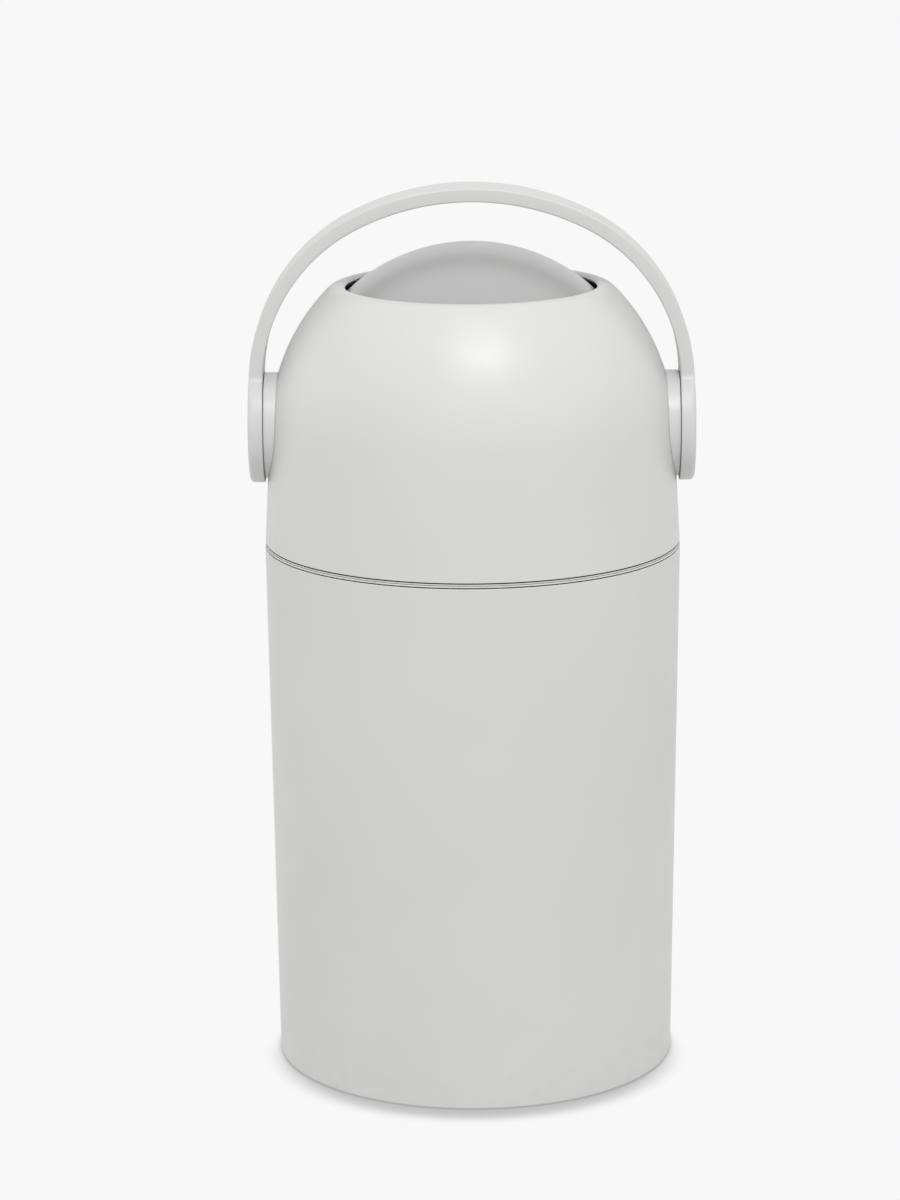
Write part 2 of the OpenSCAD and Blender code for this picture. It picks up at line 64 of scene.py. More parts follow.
# Room light. A pale seamless studio: even light from all round, a soft box high in front,
# which leaves the soft bright patch on the dome, and a weak low one far out on the left.
backdrop_white = (0.939, 0.939, 0.939, 1.0)
room_grey = (0.79, 0.79, 0.79, 1.0)


def wired(tree, kind, inputs=(), **settings):
    """A node of that kind with its settings. Each of inputs pairs a socket with a value, or with the
    output that feeds it."""
    node = tree.nodes.new(kind)
    for key, value in settings.items():
        setattr(node, key, value)
    for key, value in inputs:
        if isinstance(value, bpy.types.NodeSocket):
            tree.links.new(value, node.inputs[key])
        else:
            node.inputs[key].default_value = value
    return node


def worked(tree, operation, *values):
    """The result of that operation on the values, taken in their order."""
    return wired(tree, "ShaderNodeMath", list(enumerate(values)), operation=operation).outputs[0]


def seen_directly(tree):
    """1 for a camera, glossy or transmission ray and 0 for the others: the largest of the three flags."""
    ray = wired(tree, "ShaderNodeLightPath")
    flag = ray.outputs["Is Camera Ray"]
    for other in ("Is Glossy Ray", "Is Transmission Ray"):
        flag = worked(tree, "MAXIMUM", flag, ray.outputs[other])
    return flag


def either(tree, share, one, other):
    """Two shaders mixed: one where the share is 0, the other where it is 1."""
    return wired(tree, "ShaderNodeMixShader", [(0, share), (1, one.outputs[0]), (2, other.outputs[0])])


studio = bpy.data.worlds.new("studio")
bpy.context.scene.world = studio
studio.use_nodes = True
air = studio.node_tree
air.nodes.clear()
room_light = wired(air, "ShaderNodeBackground", [("Color", room_grey), ("Strength", 1.0)])
room_white = wired(air, "ShaderNodeBackground", [("Color", backdrop_white), ("Strength", 1.0)])
room = either(air, seen_directly(air), room_light, room_white)
wired(air, "ShaderNodeOutputWorld", [("Surface", room.outputs[0])])


def soft_box(name, place, aim, wide, deep, radiance):
    """A rectangular lamp at a place, facing a point. Its power is radiance times pi times its area."""
    box = bpy.data.lights.new(name, "AREA")
    box.shape, box.size, box.size_y = "RECTANGLE", wide, deep
    box.energy = radiance * pi * wide * deep
    holder = bpy.data.objects.new(name, box)
    holder.location = place
    holder.rotation_euler = (Vector(aim) - Vector(place)).to_track_quat("-Z", "Y").to_euler()
    bpy.context.scene.collection.objects.link(holder)


soft_box("front_box", place=(0.22, -1.35, 2.25), aim=(0.0, -0.05, 0.46), wide=0.9, deep=0.7, radiance=10.0)
soft_box("left_box", place=(-2.0, 0.5, 0.7), aim=(0.0, 0.0, 0.3), wide=1.2, deep=1.0, radiance=0.6)


# Floor. White seamless paper that glows evenly for the lens, with the bin's soft contact shadow painted into
# that glow from how much of the nearby directions the bin closes. It is widest in front, where those
# directions lean towards the bin, and thin all round.
floor_half = 15.0
paper_grey = (0.785, 0.785, 0.782, 1.0)
# the near-black that painted shade falls to: the floor's painted contact shadow and the seam grooves'
# painted shade
painted_shade_black = (0.02, 0.02, 0.02, 1.0)
floor_corners = [(floor_half * a, floor_half * b, 0) for a, b in ((-1, -1), (1, -1), (1, 1), (-1, 1))]


def blank_material(name):
    """A new material with nothing in its node tree, and the tree."""
    material = bpy.data.materials.new(name)
    material.use_nodes = True
    material.node_tree.nodes.clear()
    return material, material.node_tree


def remapped(tree, value, low, high, to_low, to_high, smooth=False):
    """The value moved from one range to another: to_low + (value - low) / (high - low) * (to_high - to_low),
    held at both ends, and with a soft start and stop where smooth is asked for."""
    kind = "SMOOTHSTEP" if smooth else "LINEAR"
    return wired(tree, "ShaderNodeMapRange", [(0, value), (1, low), (2, high), (3, to_low), (4, to_high)],
                 interpolation_type=kind).outputs[0]


def blended(tree, share, one, other):
    """A colour between two: one where the share is 0, the other where it is 1."""
    mix = wired(tree, "ShaderNodeMix", [("Factor", share), (6, one), (7, other)], data_type="RGBA")
    return mix.outputs[2]


def contact_shade(tree, samples, reach, open_low, open_high, light_left, leaning=()):
    """The share of light left beside the bin. It is 1 where the open part of the directions is over
    open_high, and goes down smoothly to light_left at open_low. Only what stands within reach, in metres,
    closes any."""
    cover = wired(tree, "ShaderNodeAmbientOcclusion", [("Distance", reach), *leaning], samples=samples)
    return remapped(tree, cover.outputs["AO"], open_low, open_high, light_left, 1.0, smooth=True)


floor_mesh = bpy.data.meshes.new("floor")
floor_mesh.from_pydata(floor_corners, [], [(0, 1, 2, 3)])
floor = bpy.data.objects.new("floor", floor_mesh)
bpy.context.scene.collection.objects.link(floor)
paper, sheet = blank_material("studio_paper")
# leaning the directions to the back gives more shade in front of the bin than behind it
backwards = wired(sheet, "ShaderNodeCombineXYZ", [(0, 0.0), (1, 0.8), (2, 1.0)])
front_shade = contact_shade(sheet, samples=32, reach=0.048, open_low=0.4, open_high=0.7, light_left=0.56,
                            leaning=[("Normal", backwards.outputs[0])])
edge_shade = contact_shade(sheet, samples=24, reach=0.005, open_low=0.3, open_high=0.9, light_left=0.72)
# painted shadow: the paper's glow darkens towards black where the bin closes the nearby directions
tone = blended(sheet, worked(sheet, "MULTIPLY", front_shade, edge_shade), painted_shade_black, backdrop_white)
shadow_painted_paper = wired(sheet, "ShaderNodeEmission", [("Color", tone), ("Strength", 1.0)])
paper_bounce = wired(sheet, "ShaderNodeEmission", [("Color", paper_grey), ("Strength", 1.0)])
paper_light = either(sheet, seen_directly(sheet), paper_bounce, shadow_painted_paper)
below = wired(sheet, "ShaderNodeNewGeometry")
see_through = wired(sheet, "ShaderNodeBsdfTransparent")
paper_face = either(sheet, below.outputs["Backfacing"], paper_light, see_through)
wired(sheet, "ShaderNodeOutputMaterial", [("Surface", paper_face.outputs[0])])
floor_mesh.materials.append(paper)


# Bin body. One tall tub moulded in grey-white plastic, satin outside, a little wider at
# its rim than at its foot, with a rounded bottom edge and a raised floor inside.
foot_r, rim_r, rim_z = 135.5, 140.2, 356.4
tub_wall, tub_floor_z, tub_edge, tub_cove = 2.6, 6.8, 0.7, 3.0
base_z, base_r, heel_r = 3.8, 113.5, 116.8
pad_proud = 0.6
plastic_white = (0.655, 0.655, 0.646)
axis_z = 438.0


def rounded(corners, steps=6, hold=0.5):
    """A closed outline of (radius, height) points. A corner (r, z, round) becomes the arc of that radius
    that touches both its edges: centre = corner + bisector * round / sin(half), and its points turn from one
    touching point to the other. A point a little way out on each edge, hold millimetres past the arc, keeps
    the flats flat under smooth shading."""
    points = np.array([c[:2] for c in corners], float)
    out = []
    for i, corner in enumerate(corners):
        p, r = points[i], corner[2] if len(corner) > 2 else 0.0
        if r <= 0:
            out.append(p[None])
            continue
        a, b = points[i - 1] - p, points[(i + 1) % len(points)] - p
        room_a, room_b = np.linalg.norm(a), np.linalg.norm(b)
        a, b = a / room_a, b / room_b
        half = acos(np.clip(a @ b, -1, 1)) / 2
        reach = r / tan(half)
        centre = p + (a + b) / np.linalg.norm(a + b) * r / sin(half)
        start, end = p + a * reach - centre, p + b * reach - centre
        turn = pi - 2 * half
        t = np.linspace(0, 1, max(2, int(np.ceil(steps * turn / (pi / 2)))) + 1)[:, None]
        arc = centre + (start * np.sin((1 - t) * turn) + end * np.sin(t * turn)) / sin(turn)
        if room_a > reach + 2 * hold:
            out.append((p + a * (reach + hold))[None])
        out.append(arc)
        if room_b > reach + 2 * hold:
            out.append((p + b * (reach + hold))[None])
    return np.vstack(out)


def swing(cr, cz, radius, start, end, n):
    """Corners without rounding along an arc: (cr + radius cos a, cz + radius sin a), with a in degrees from
    start to end."""
    a = np.radians(np.linspace(start, end, n))
    return [(cr + radius * c, cz + radius * s, 0) for c, s in zip(np.cos(a), np.sin(a))]


def turned(outline, turns=224, about="z", centre=(0.0, 0.0)):
    """An outline (r, h) turned all the way round an axis: point = (r cos t, r sin t, h) for t on an even
    ring. about x or y lays the axis along that direction at the drum's height. Gives a grid of points in
    millimetres."""
    t = np.linspace(0, 2 * pi, turns, endpoint=False)[None]
    r, h = outline[:, :1], outline[:, 1:2]
    u, v, w = r * np.cos(t), r * np.sin(t), h + 0 * t
    if about == "z":
        return np.stack([u + centre[0], v + centre[1], w], -1)
    if about == "x":
        return np.stack([w, u, v + axis_z], -1)
    return np.stack([v, w, u + axis_z], -1)


def closed_grid(rows, cols, wrap_rows=True):
    """Quads between neighbouring rows and columns of a grid of points, as whole index arrays. The last
    column joins the first, and so does the last row unless wrap_rows is off."""
    i = np.arange(rows if wrap_rows else rows - 1)[:, None]
    j = np.arange(cols)[None]
    i1, j1 = (i + 1) % rows, (j + 1) % cols
    return np.stack([i * cols + j, i * cols + j1, i1 * cols + j1, i1 * cols + j], -1).reshape(-1, 4)


mm = 0.001
crisp_angle = radians(38.0)


def made(name, grids, material, body, replaces):
    """A piece from grids of points in millimetres, each closed on itself both ways or given with its own
    faces. Doubles at poles are merged, faces turned outwards, edges over crisp_angle stay crisp."""
    points, faces, base = [], [], 0
    for grid in grids:
        grid, quads = grid if isinstance(grid, tuple) else (grid, closed_grid(*grid.shape[:2]))
        flat = grid.reshape(-1, 3)
        points.append(flat)
        faces.append(quads + base)
        base += len(flat)
    points, faces = np.vstack(points) * mm, np.vstack(faces)
    mesh = bpy.data.meshes.new(name)
    mesh.from_pydata(points, [], faces.tolist())
    work = bmesh.new()
    work.from_mesh(mesh)
    bmesh.ops.remove_doubles(work, verts=work.verts, dist=2e-6)
    bmesh.ops.dissolve_degenerate(work, edges=work.edges, dist=1e-6)
    bmesh.ops.recalc_face_normals(work, faces=work.faces)
    work.to_mesh(mesh)
    work.free()
    mesh.polygons.foreach_set("use_smooth", np.ones(len(mesh.polygons), bool))
    mesh.set_sharp_from_angle(angle=crisp_angle)
    mesh.materials.append(material)
    piece = bpy.data.objects.new(name, mesh)
    bpy.context.scene.collection.objects.link(piece)
    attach(piece, body)
    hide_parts(*replaces)


def noise(tree, place, scale, detail, roughness):
    """Cloudy noise with scale lumps to the metre and as many finer layers as detail says, each weaker than
    the last by the roughness. Nearly all of it lies between noise_low and noise_high."""
    return wired(tree, "ShaderNodeTexNoise", [("Vector", place), ("Scale", scale), ("Detail", detail),
                                              ("Roughness", roughness)]).outputs[0]


noise_low, noise_high = 0.3, 0.7
cloud_lumps, gloss_lumps, scuff_lumps, grain_lumps = 7.0, 38.0, 95.0, 480.0
scuff_low, scuff_high, scuff_dulling = 0.46, 0.68, 0.16


def moulded_plastic(name, colour, rough, grain=0.55, depth=0.05, cloud=0.02, gloss_spread=0.05,
                    specular=0.5, coat=0.0, scuff=None, painted_groove_shade=()):
    """Injection-moulded plastic. Fine spark-eroded grain is a noise bump of that size and depth in
    millimetres, a slow noise makes the colour a touch lighter and darker, and another the gloss.
    scuff = (from z, to z, amount) dulls and darkens a band of heights in millimetres, broken up by noise.
    The bands of heights in the last argument, (from z, to z) in millimetres, lie inside a groove and are
    painted black as painted shade."""
    material, tree = blank_material(name)
    place = wired(tree, "ShaderNodeTexCoord").outputs["Object"]
    light = tuple(min(1.0, c * (1 + cloud)) for c in colour) + (1.0,)
    dark = tuple(c * (1 - cloud) for c in colour) + (1.0,)
    clouds = remapped(tree, noise(tree, place, cloud_lumps, 3.0, 0.55), noise_low, noise_high, 0.0, 1.0)
    tint = blended(tree, clouds, dark, light)
    gloss = remapped(tree, noise(tree, place, gloss_lumps, 4.0, 0.6), noise_low, noise_high,
                     rough - gloss_spread, rough + gloss_spread)
    if scuff:
        low, high, amount = scuff
        height = wired(tree, "ShaderNodeSeparateXYZ", [(0, place)]).outputs[2]
        band = remapped(tree, height, low * mm, high * mm, 1.0, 0.0, smooth=True)
        marks = remapped(tree, noise(tree, place, scuff_lumps, 5.0, 0.72), scuff_low, scuff_high, 0.0, 1.0)
        rub = worked(tree, "MULTIPLY", band, marks)
        worn = tuple(c * (1 - amount) for c in colour) + (1.0,)
        tint = blended(tree, rub, tint, worn)
        gloss = worked(tree, "MULTIPLY_ADD", rub, scuff_dulling, gloss)
    # painted shade: each band of heights down in a seam groove is painted black in place of the groove's
    # shade
    for low, high in painted_groove_shade:
        height = wired(tree, "ShaderNodeSeparateXYZ", [(0, place)]).outputs[2]
        inside = worked(tree, "COMPARE", height, (low + high) / 2 * mm, (high - low) / 2 * mm)
        tint = blended(tree, inside, tint, painted_shade_black)
    fine = noise(tree, place, grain_lumps / grain, 2.0, 0.6)
    bump = wired(tree, "ShaderNodeBump", [("Strength", 0.6), ("Distance", depth * mm), ("Height", fine)])
    skin = wired(tree, "ShaderNodeBsdfPrincipled", [
        ("Base Color", tint), ("Roughness", gloss), ("Normal", bump.outputs[0]),
        ("Specular IOR Level", specular), ("Coat Weight", coat), ("Coat Roughness", 0.3)])
    wired(tree, "ShaderNodeOutputMaterial", [("Surface", skin.outputs[0])])
    return material


def tub_r(z):
    """The tub's outer radius at a height: a straight taper from foot to rim."""
    return foot_r + (rim_r - foot_r) * z / rim_z


tub_outline = rounded([
    (0, base_z), (base_r, base_z, 0.6), (heel_r, pad_proud, 0.6), (tub_r(0), pad_proud, tub_edge),
    (rim_r, rim_z, 0.5), (rim_r - tub_wall, rim_z, 0.3),
    (tub_r(tub_floor_z) - tub_wall, tub_floor_z, tub_cove), (0, tub_floor_z)], steps=8)
body_plastic = moulded_plastic("body_plastic", plastic_white, 0.44, scuff=(1.0, 46.0, 0.03))
made("tub", [turned(tub_outline, 256)], body_plastic, "bin", ["bin_body"])


# Foot pads. Four round studs of grey rubber pushed into pockets under the tub, which keep
# it from sliding. Only their lowest edge shows.
pad_r, pad_top, pad_circle_r = 6.0, 3.2, 123.0
pad_outline = rounded([(0, 0.1), (1.5, 0.0), (pad_r, 0.0, 0.9), (pad_r, pad_top, 0.5), (0, pad_top)])
pad_places = [(pad_circle_r * cos(radians(a)), pad_circle_r * sin(radians(a))) for a in (45, 135, 225, 315)]
pad_rubber = moulded_plastic("pad_rubber", (0.105, 0.105, 0.107), 0.78, grain=0.3, depth=0.04, cloud=0.12,
                             specular=0.35)
rubber_studs = [turned(pad_outline, 48, centre=place) for place in pad_places]
made("rubber_feet", rubber_studs, pad_rubber, "bin", ["foot_pads"])


# Bag ring. A loose ring that hangs in the tub's mouth and pinches the bag's edge; its thin
# pale rim is the lower of the two edges in the seam. Two tabs with finger holes lift it.
ring_low, ring_z, ring_top = 326.0, 356.5, 358.15
ring_in_r, ring_out_r, bead_r = 133.2, 135.4, 136.2
rest_r, ring_edge_r, ring_edge_low = 137.8, 139.9, 357.15
ring_outline = rounded([
    (ring_in_r, ring_low, 0.5), (bead_r, ring_low, 0.5), (bead_r, ring_low + 2.0, 0.5),
    (ring_out_r, ring_low + 3.5, 0.8), (ring_out_r, ring_z, 0.4), (rest_r, ring_z, 0.2),
    (rest_r, ring_edge_low, 0.1), (ring_edge_r, ring_edge_low, 0.15), (ring_edge_r, ring_top, 0.2),
    (ring_in_r, ring_top, 0.6)], steps=5, hold=0.2)
tab_r, tab_hole_r, tab_low, tab_root = 11.0, 7.0, ring_top - 2.0, 12.2
tab_width = 10.0  # the tab's edge is drawn this wide, then each side of it is laid round the hole
around = np.linspace(0, 2 * pi, 72, endpoint=False)
# from the finger hole's middle to the tab's edge: round towards the bin's axis, square towards the ring
to_root = tab_root / np.maximum(np.cos(around), 1e-6)
to_side = tab_r / np.maximum(np.abs(np.sin(around)), 1e-6)
tab_reach = np.where(np.cos(around) <= 0, tab_r, np.minimum(to_root, to_side))
tab_edge = rounded([(0, tab_low, 0.6), (tab_width, tab_low, 0.6), (tab_width, ring_top, 0.6),
                    (0, ring_top, 0.6)], steps=4, hold=0.3)
hole_side = tab_edge[:, :1] < tab_width / 2
tab_span = np.where(hole_side, tab_hole_r + tab_edge[:, :1], tab_reach[None] - tab_width + tab_edge[:, :1])
tabs = []
for way in (1, -1):
    along, aside = tab_span * np.cos(around)[None], tab_span * np.sin(around)[None]
    height = tab_edge[:, 1:2] + 0 * along
    tabs.append(np.stack([way * -aside, way * (ring_in_r - tab_r + along), height], -1))
# painted shade: its faces from the tub's rim height to just above the rim's lower edge lie in the seam's
# groove and are painted black
ring_plastic = moulded_plastic("ring_plastic", (0.70, 0.70, 0.69), 0.42, depth=0.03,
                               painted_groove_shade=[(rim_z, ring_edge_low + 0.07)])
made("bag_clamp_ring", [turned(ring_outline, 256)] + tabs, ring_plastic, "bag_ring",
     ["bag_ring"])


# Rim gasket. A soft light grey ring under the lid; its flat lip is the upper edge in the
# seam and closes on the bag ring, and its bead sits in the housing's groove.
flange_z, groove_in_r, groove_out_r, groove_deep = 360.0, 134.2, 135.6, 1.2
gasket_in_r, gasket_r, gasket_low = 133.6, 139.6, 358.45
gasket_lip_z, gasket_step_r = 359.5, 136.7
gasket_outline = rounded([
    (gasket_in_r, gasket_low, 0.35), (gasket_r, gasket_low, 0.15), (gasket_r, gasket_lip_z, 0.15),
    (gasket_step_r, gasket_lip_z, 0.1), (gasket_step_r, flange_z, 0.1), (groove_out_r, flange_z, 0.05),
    (groove_out_r, flange_z + groove_deep, 0.1), (groove_in_r, flange_z + groove_deep, 0.1),
    (groove_in_r, flange_z, 0.05), (gasket_in_r, flange_z, 0.1)], steps=4, hold=0.15)
# painted shade: its faces above the flat lip and its underside lie in the seam's grooves and are painted
# black
gasket_rubber = moulded_plastic("gasket_rubber", (0.66, 0.66, 0.65), 0.62, grain=0.35, depth=0.03,
                                cloud=0.03, specular=0.4,
                                painted_groove_shade=[(gasket_lip_z - 0.1, flange_z + 2.0),
                                           (gasket_low - 0.45, gasket_low + 0.07)])
made("lid_gasket", [turned(gasket_outline, 256)], gasket_rubber, "lid", ["rim_gasket"])


# Lid dome. A deep moulded shell: a slightly tapered skirt, a spherical shoulder, and a
# rolled lip round the wide opening that the drum looks out of. Flat pads inside carry the hubs.
dome_r, dome_z, skirt = 135.7, 434.0, radians(3.15)
dome_low, dome_wall = 360.2, 3.0
crest_r, crest_z, curl_r, curl_end = 87.6, 533.2, 4.0, 150
drum_r, drum_wall = 122.5, 2.8
dome_foot = dome_r / cos(skirt) + (dome_z - dome_low) * tan(skirt)
crest_h = crest_z - dome_z
shoulder_r = (dome_r ** 2 - crest_r ** 2 - crest_h ** 2) / (2 * (dome_r - crest_h))
shoulder_z = crest_z - shoulder_r
shoulder_a = np.degrees(atan2(shoulder_z - dome_z, crest_r))
skirt_heights = (dome_low + 2.0, 372, 390, 408, 422)
skirt_steps = [(dome_foot - (h - dome_low) * tan(skirt), h, 0) for h in skirt_heights]
seal_r, seal_a, lip_a = drum_r + 2.5, radians(44.3), radians(60)
in_foot = dome_foot - dome_wall / cos(skirt)
in_shoulder_r, in_wall_steps = shoulder_r - dome_wall, 36
dome_outline = rounded(
    [(dome_foot, dome_low, 0.3)] + skirt_steps
    + swing(0, dome_z, dome_r, np.degrees(skirt), shoulder_a, 44)
    + swing(crest_r, shoulder_z, shoulder_r, shoulder_a + 3, 90, 14)
    + swing(crest_r, crest_z - curl_r, curl_r, 96, curl_end, 9)
    + [(seal_r * cos(seal_a), axis_z + seal_r * sin(seal_a), 0.5)]
    + [(crest_r + in_shoulder_r * cos(lip_a), shoulder_z + in_shoulder_r * sin(lip_a), 0.8)]
    + swing(0, dome_z, dome_r - dome_wall, shoulder_a - 0.5, np.degrees(skirt), in_wall_steps)
    + [(in_foot, dome_low, 0.6)], steps=5)
shell = turned(dome_outline, 288)
hub_pad_x, hub_pad_r = 127.2, 36.5
# the last rows of points are the inner wall, and near the hub axis they are brought back to the flat pads
from_axis = np.hypot(shell[..., 1], shell[..., 2] - axis_z)
inner_rows = np.arange(len(dome_outline)) > len(dome_outline) - in_wall_steps - 4
pad_zone = inner_rows[:, None] & (from_axis < hub_pad_r)
shell[..., 0] = np.where(pad_zone, np.clip(shell[..., 0], -hub_pad_x, hub_pad_x), shell[..., 0])
lid_plastic = moulded_plastic("lid_plastic", plastic_white, 0.39)
made("dome", [shell], lid_plastic, "lid", ["lid_dome"])


# Drum housing. The bowl under the drum, moulded in a plain darker grey and screwed up into
# the dome; its flange carries the gasket, and its edge the lower seal.
bowl_r, bowl_wall, flange_r, flange_t = 124.4, 2.6, 136.5, 3.0
bowl_out = bowl_r + bowl_wall
# how far under the drum's axis the bowl's lower end and its upper edge lie
bowl_end_down, bowl_edge_down = 98.6, 34.0
# angles in degrees about the drum's centre: to the bowl's end and edge, and to the flange's two faces
bowl_low_a = -np.degrees(asin(bowl_end_down / bowl_r))
bowl_high_a = -np.degrees(asin(bowl_edge_down / bowl_r))
flange_top_a = np.degrees(asin((flange_z + flange_t - axis_z) / bowl_out))
flange_low_a = np.degrees(asin((flange_z - axis_z) / bowl_out))
bowl_outline = rounded(
    swing(0, axis_z, bowl_r, bowl_low_a, bowl_high_a, 24)
    + swing(0, axis_z, bowl_out, bowl_high_a, flange_top_a + 0.3, 12)
    + [(flange_r, flange_z + flange_t, 0.5), (flange_r, flange_z, 0.3), (groove_out_r, flange_z, 0.1),
       (groove_out_r, flange_z + groove_deep, 0.1), (groove_in_r, flange_z + groove_deep, 0.1),
       (groove_in_r, flange_z, 0.1)]
    + swing(0, axis_z, bowl_out, flange_low_a - 0.3, bowl_low_a, 8),
    steps=4, hold=0.2)
inner_plastic = moulded_plastic("inner_plastic", (0.46, 0.46, 0.455), 0.5, depth=0.04, cloud=0.03)
made("drum_bowl", [turned(bowl_outline, 224)], inner_plastic, "lid", ["drum_housing"])


# Drum seals. Two soft black wiping strips, one under the dome's lip, with a thin black skirt laid over the
# slot's pale inner wall as painted shade, and one on the bowl's edge. Both stay a hair off the ball all the
# way round.
seal_gap = 0.3


def wiping_strip(inner, outer, low_a, high_a, n):
    """A strip between two radii about the drum's centre, from one angle in degrees to another, turned all
    the way round. Its inner corners are slightly rounded, and its two long sides are arcs of n points."""
    low, high = radians(low_a), radians(high_a)
    outline = rounded([(inner * cos(low), axis_z + inner * sin(low), 0.15)]
                      + swing(0, axis_z, outer, low_a + 0.02, high_a - 0.02, n)
                      + [(inner * cos(high), axis_z + inner * sin(high), 0.15)]
                      + swing(0, axis_z, inner, high_a - 0.3, low_a + 0.3, n),
                      steps=3, hold=0.1)
    return turned(outline, 224)


seal_rubber = moulded_plastic("seal_rubber", (0.02, 0.02, 0.021), 0.8, grain=0.3, depth=0.03, cloud=0.08,
                              specular=0.12)
upper_strip = wiping_strip(drum_r + seal_gap, drum_r + 2.4, 39, 44, 8)
# painted shade: a thin black sheet over the pale inner wall of the lip's slot
slot_shade_skirt = wiping_strip(drum_r + 1.9, drum_r + 2.8, 43.8, 47, 6)
lower_strip = wiping_strip(drum_r + seal_gap, bowl_r - 0.05, bowl_low_a - 1.1, bowl_low_a + 6, 8)
made("lip_seal", [upper_strip, slot_shade_skirt], seal_rubber, "lid", ["upper_seal"])
made("bowl_seal", [lower_strip], seal_rubber, "lid", ["lower_seal"])


# Hub collars. Short round bosses of slightly cooler white plastic, shaped to the dome's
# curve and screwed on from inside; the handle's discs turn against their flat faces.
collar_r, collar_x, bore_r, collar_deep = 35.5, 138.9, 15.0, 9.0
collar_round, groove_in = 0.6, 0.45


def dome_radius(z):
    """The dome's outer radius at a height: the sphere above its equator band, the tapered skirt below."""
    ball = np.sqrt(np.maximum(dome_r ** 2 - (z - dome_z) ** 2, 1.0))
    return np.where(z > dome_z + dome_r * sin(skirt), ball, dome_foot - (z - dome_low) * tan(skirt))


def collar(way):
    """A ring turned about the hub axis. Its outer wall runs from the flat face at collar_x down to the
    dome, x = sqrt(dome radius(z)^2 - y^2) at that point of the circle, with a shadow groove just above."""
    t = np.linspace(0, 2 * pi, 168, endpoint=False)[None]
    foot_y, foot_z = collar_r * np.cos(t), axis_z + collar_r * np.sin(t)
    foot = np.sqrt(dome_radius(foot_z) ** 2 - foot_y ** 2)
    width = collar_r - bore_r
    face = rounded([(0, 0, 0.5), (width, 0, collar_round), (width, -collar_deep, 0), (0, -collar_deep, 0)],
                   steps=6, hold=0.25)
    top = face[face[:, 1] > -collar_deep / 2]
    # below the face: the radius of each ring of points, and how far it stands off the dome
    low_r = np.array([collar_r, collar_r, collar_r - groove_in, collar_r - groove_in, bore_r])[:, None]
    low_x = foot + np.array([0.62, 0.36, 0.2, -1.4, -1.4])[:, None]
    r = np.vstack([bore_r + top[:, :1], low_r])
    x = np.vstack([collar_x + top[:, 1:2] + 0 * t, np.minimum(low_x, collar_x - collar_round - 0.05)])
    return np.stack([way * x, r * np.cos(t), axis_z + r * np.sin(t)], -1)


collar_plastic = moulded_plastic("collar_plastic", (0.648, 0.655, 0.658), 0.36, depth=0.02, cloud=0.012)
made("collar_left", [collar(-1)], collar_plastic, "lid", ["hub_collar_left"])
made("collar_right", [collar(1)], collar_plastic, "lid", ["hub_collar_right"])


# Drum. A hollow ball in two halves, lapped along a hairline seam, in smooth mid grey
# plastic that is polished brighter than the lid. Each half has a round mouth for the chute.
mouth_r, mouth_lip_y, chute_wall, chute_half = 70.55, 90.0, 2.5, 99.0
flat_x, plate_x, plate_r = 118.5, 115.5, 28.0


def ball_half(way):
    """A spherical shell turned about the chute's axis between the seam and the mouth, where it turns in to a
    short collar. Points beyond the hub flats are brought back to x = flat_x outside and plate_x inside."""
    lip_r = mouth_r + chute_wall
    mouth_a = np.degrees(acos(mouth_r / drum_r))
    in_r = drum_r - drum_wall
    outline = rounded(
        [(drum_r - 0.12, 0.02, 0), (drum_r - 0.01, 0.14, 0)] + swing(0, 0, drum_r, 0.25, mouth_a - 1.2, 46)
        + [(mouth_r, drum_r * sin(radians(mouth_a)), 1.2), (mouth_r, mouth_lip_y, 0.4),
           (lip_r, mouth_lip_y, 0.4)]
        + swing(0, 0, in_r, np.degrees(acos(lip_r / in_r)), 0, 36), steps=6, hold=0.3)
    grid = turned(outline * np.array([1, way]), 224, "y")
    x = grid[..., 0]
    off_axis = np.hypot(grid[..., 1], grid[..., 2] - axis_z)
    outside = (np.hypot(outline[:, 0], outline[:, 1]) > drum_r - 1)[:, None]
    plated = np.where(off_axis < plate_r, np.clip(x, -plate_x, plate_x), x)
    grid[..., 0] = np.where(outside, np.clip(x, -flat_x, flat_x), plated)
    return grid


drum_plastic = moulded_plastic("drum_plastic", (0.395, 0.395, 0.393), 0.36, grain=0.8, depth=0.012,
                               cloud=0.015, gloss_spread=0.03, coat=0.8)
made("drum_front", [ball_half(-1)], drum_plastic, "drum", ["drum_front_shell"])
made("drum_rear", [ball_half(1)], drum_plastic, "drum", ["drum_rear_shell"])


# Chute. A straight tube through the drum, smooth inside so that the nappy slides, with a
# snap ring at each end that stops the piston.
chute_r, snap_r, snap_t = 68.0, 64.5, 3.0
tube_outline = rounded([(chute_r, -chute_half, 0.8), (chute_r + chute_wall, -chute_half, 0.6),
                        (chute_r + chute_wall, chute_half, 0.6), (chute_r, chute_half, 0.8)], steps=5)
chute_plastic = moulded_plastic("chute_plastic", (0.60, 0.60, 0.595), 0.26, grain=0.9, depth=0.01,
                                cloud=0.015)
made("chute_pipe", [turned(tube_outline, 192, "y")], chute_plastic, "drum", ["chute_tube"])
snap_outline = rounded([(snap_r, chute_half - snap_t, 0.7), (snap_r, chute_half, 0.9),
                        (chute_r, chute_half, 0.3), (chute_r, chute_half - snap_t, 0.2)], steps=5, hold=0.3)
for way, word in ((-1, "front"), (1, "rear")):
    made(f"snap_ring_{word}", [turned(snap_outline * np.array([1, way]), 192, "y")], inner_plastic, "drum",
         [f"{word}_stop_ring"])


# Piston. A loose cup-shaped disc that falls through the chute when the drum turns over and
# pushes the nappy out; a soft ring round its middle wipes the tube.
piston_y, piston_half, piston_r = 83.7, 12.0, 67.6
piston_in_r, plate_half, plate_mid_r = 64.8, 1.5, 40.0
wiper_in_r, wiper_r, wiper_half = 66.0, 67.7, 2.0
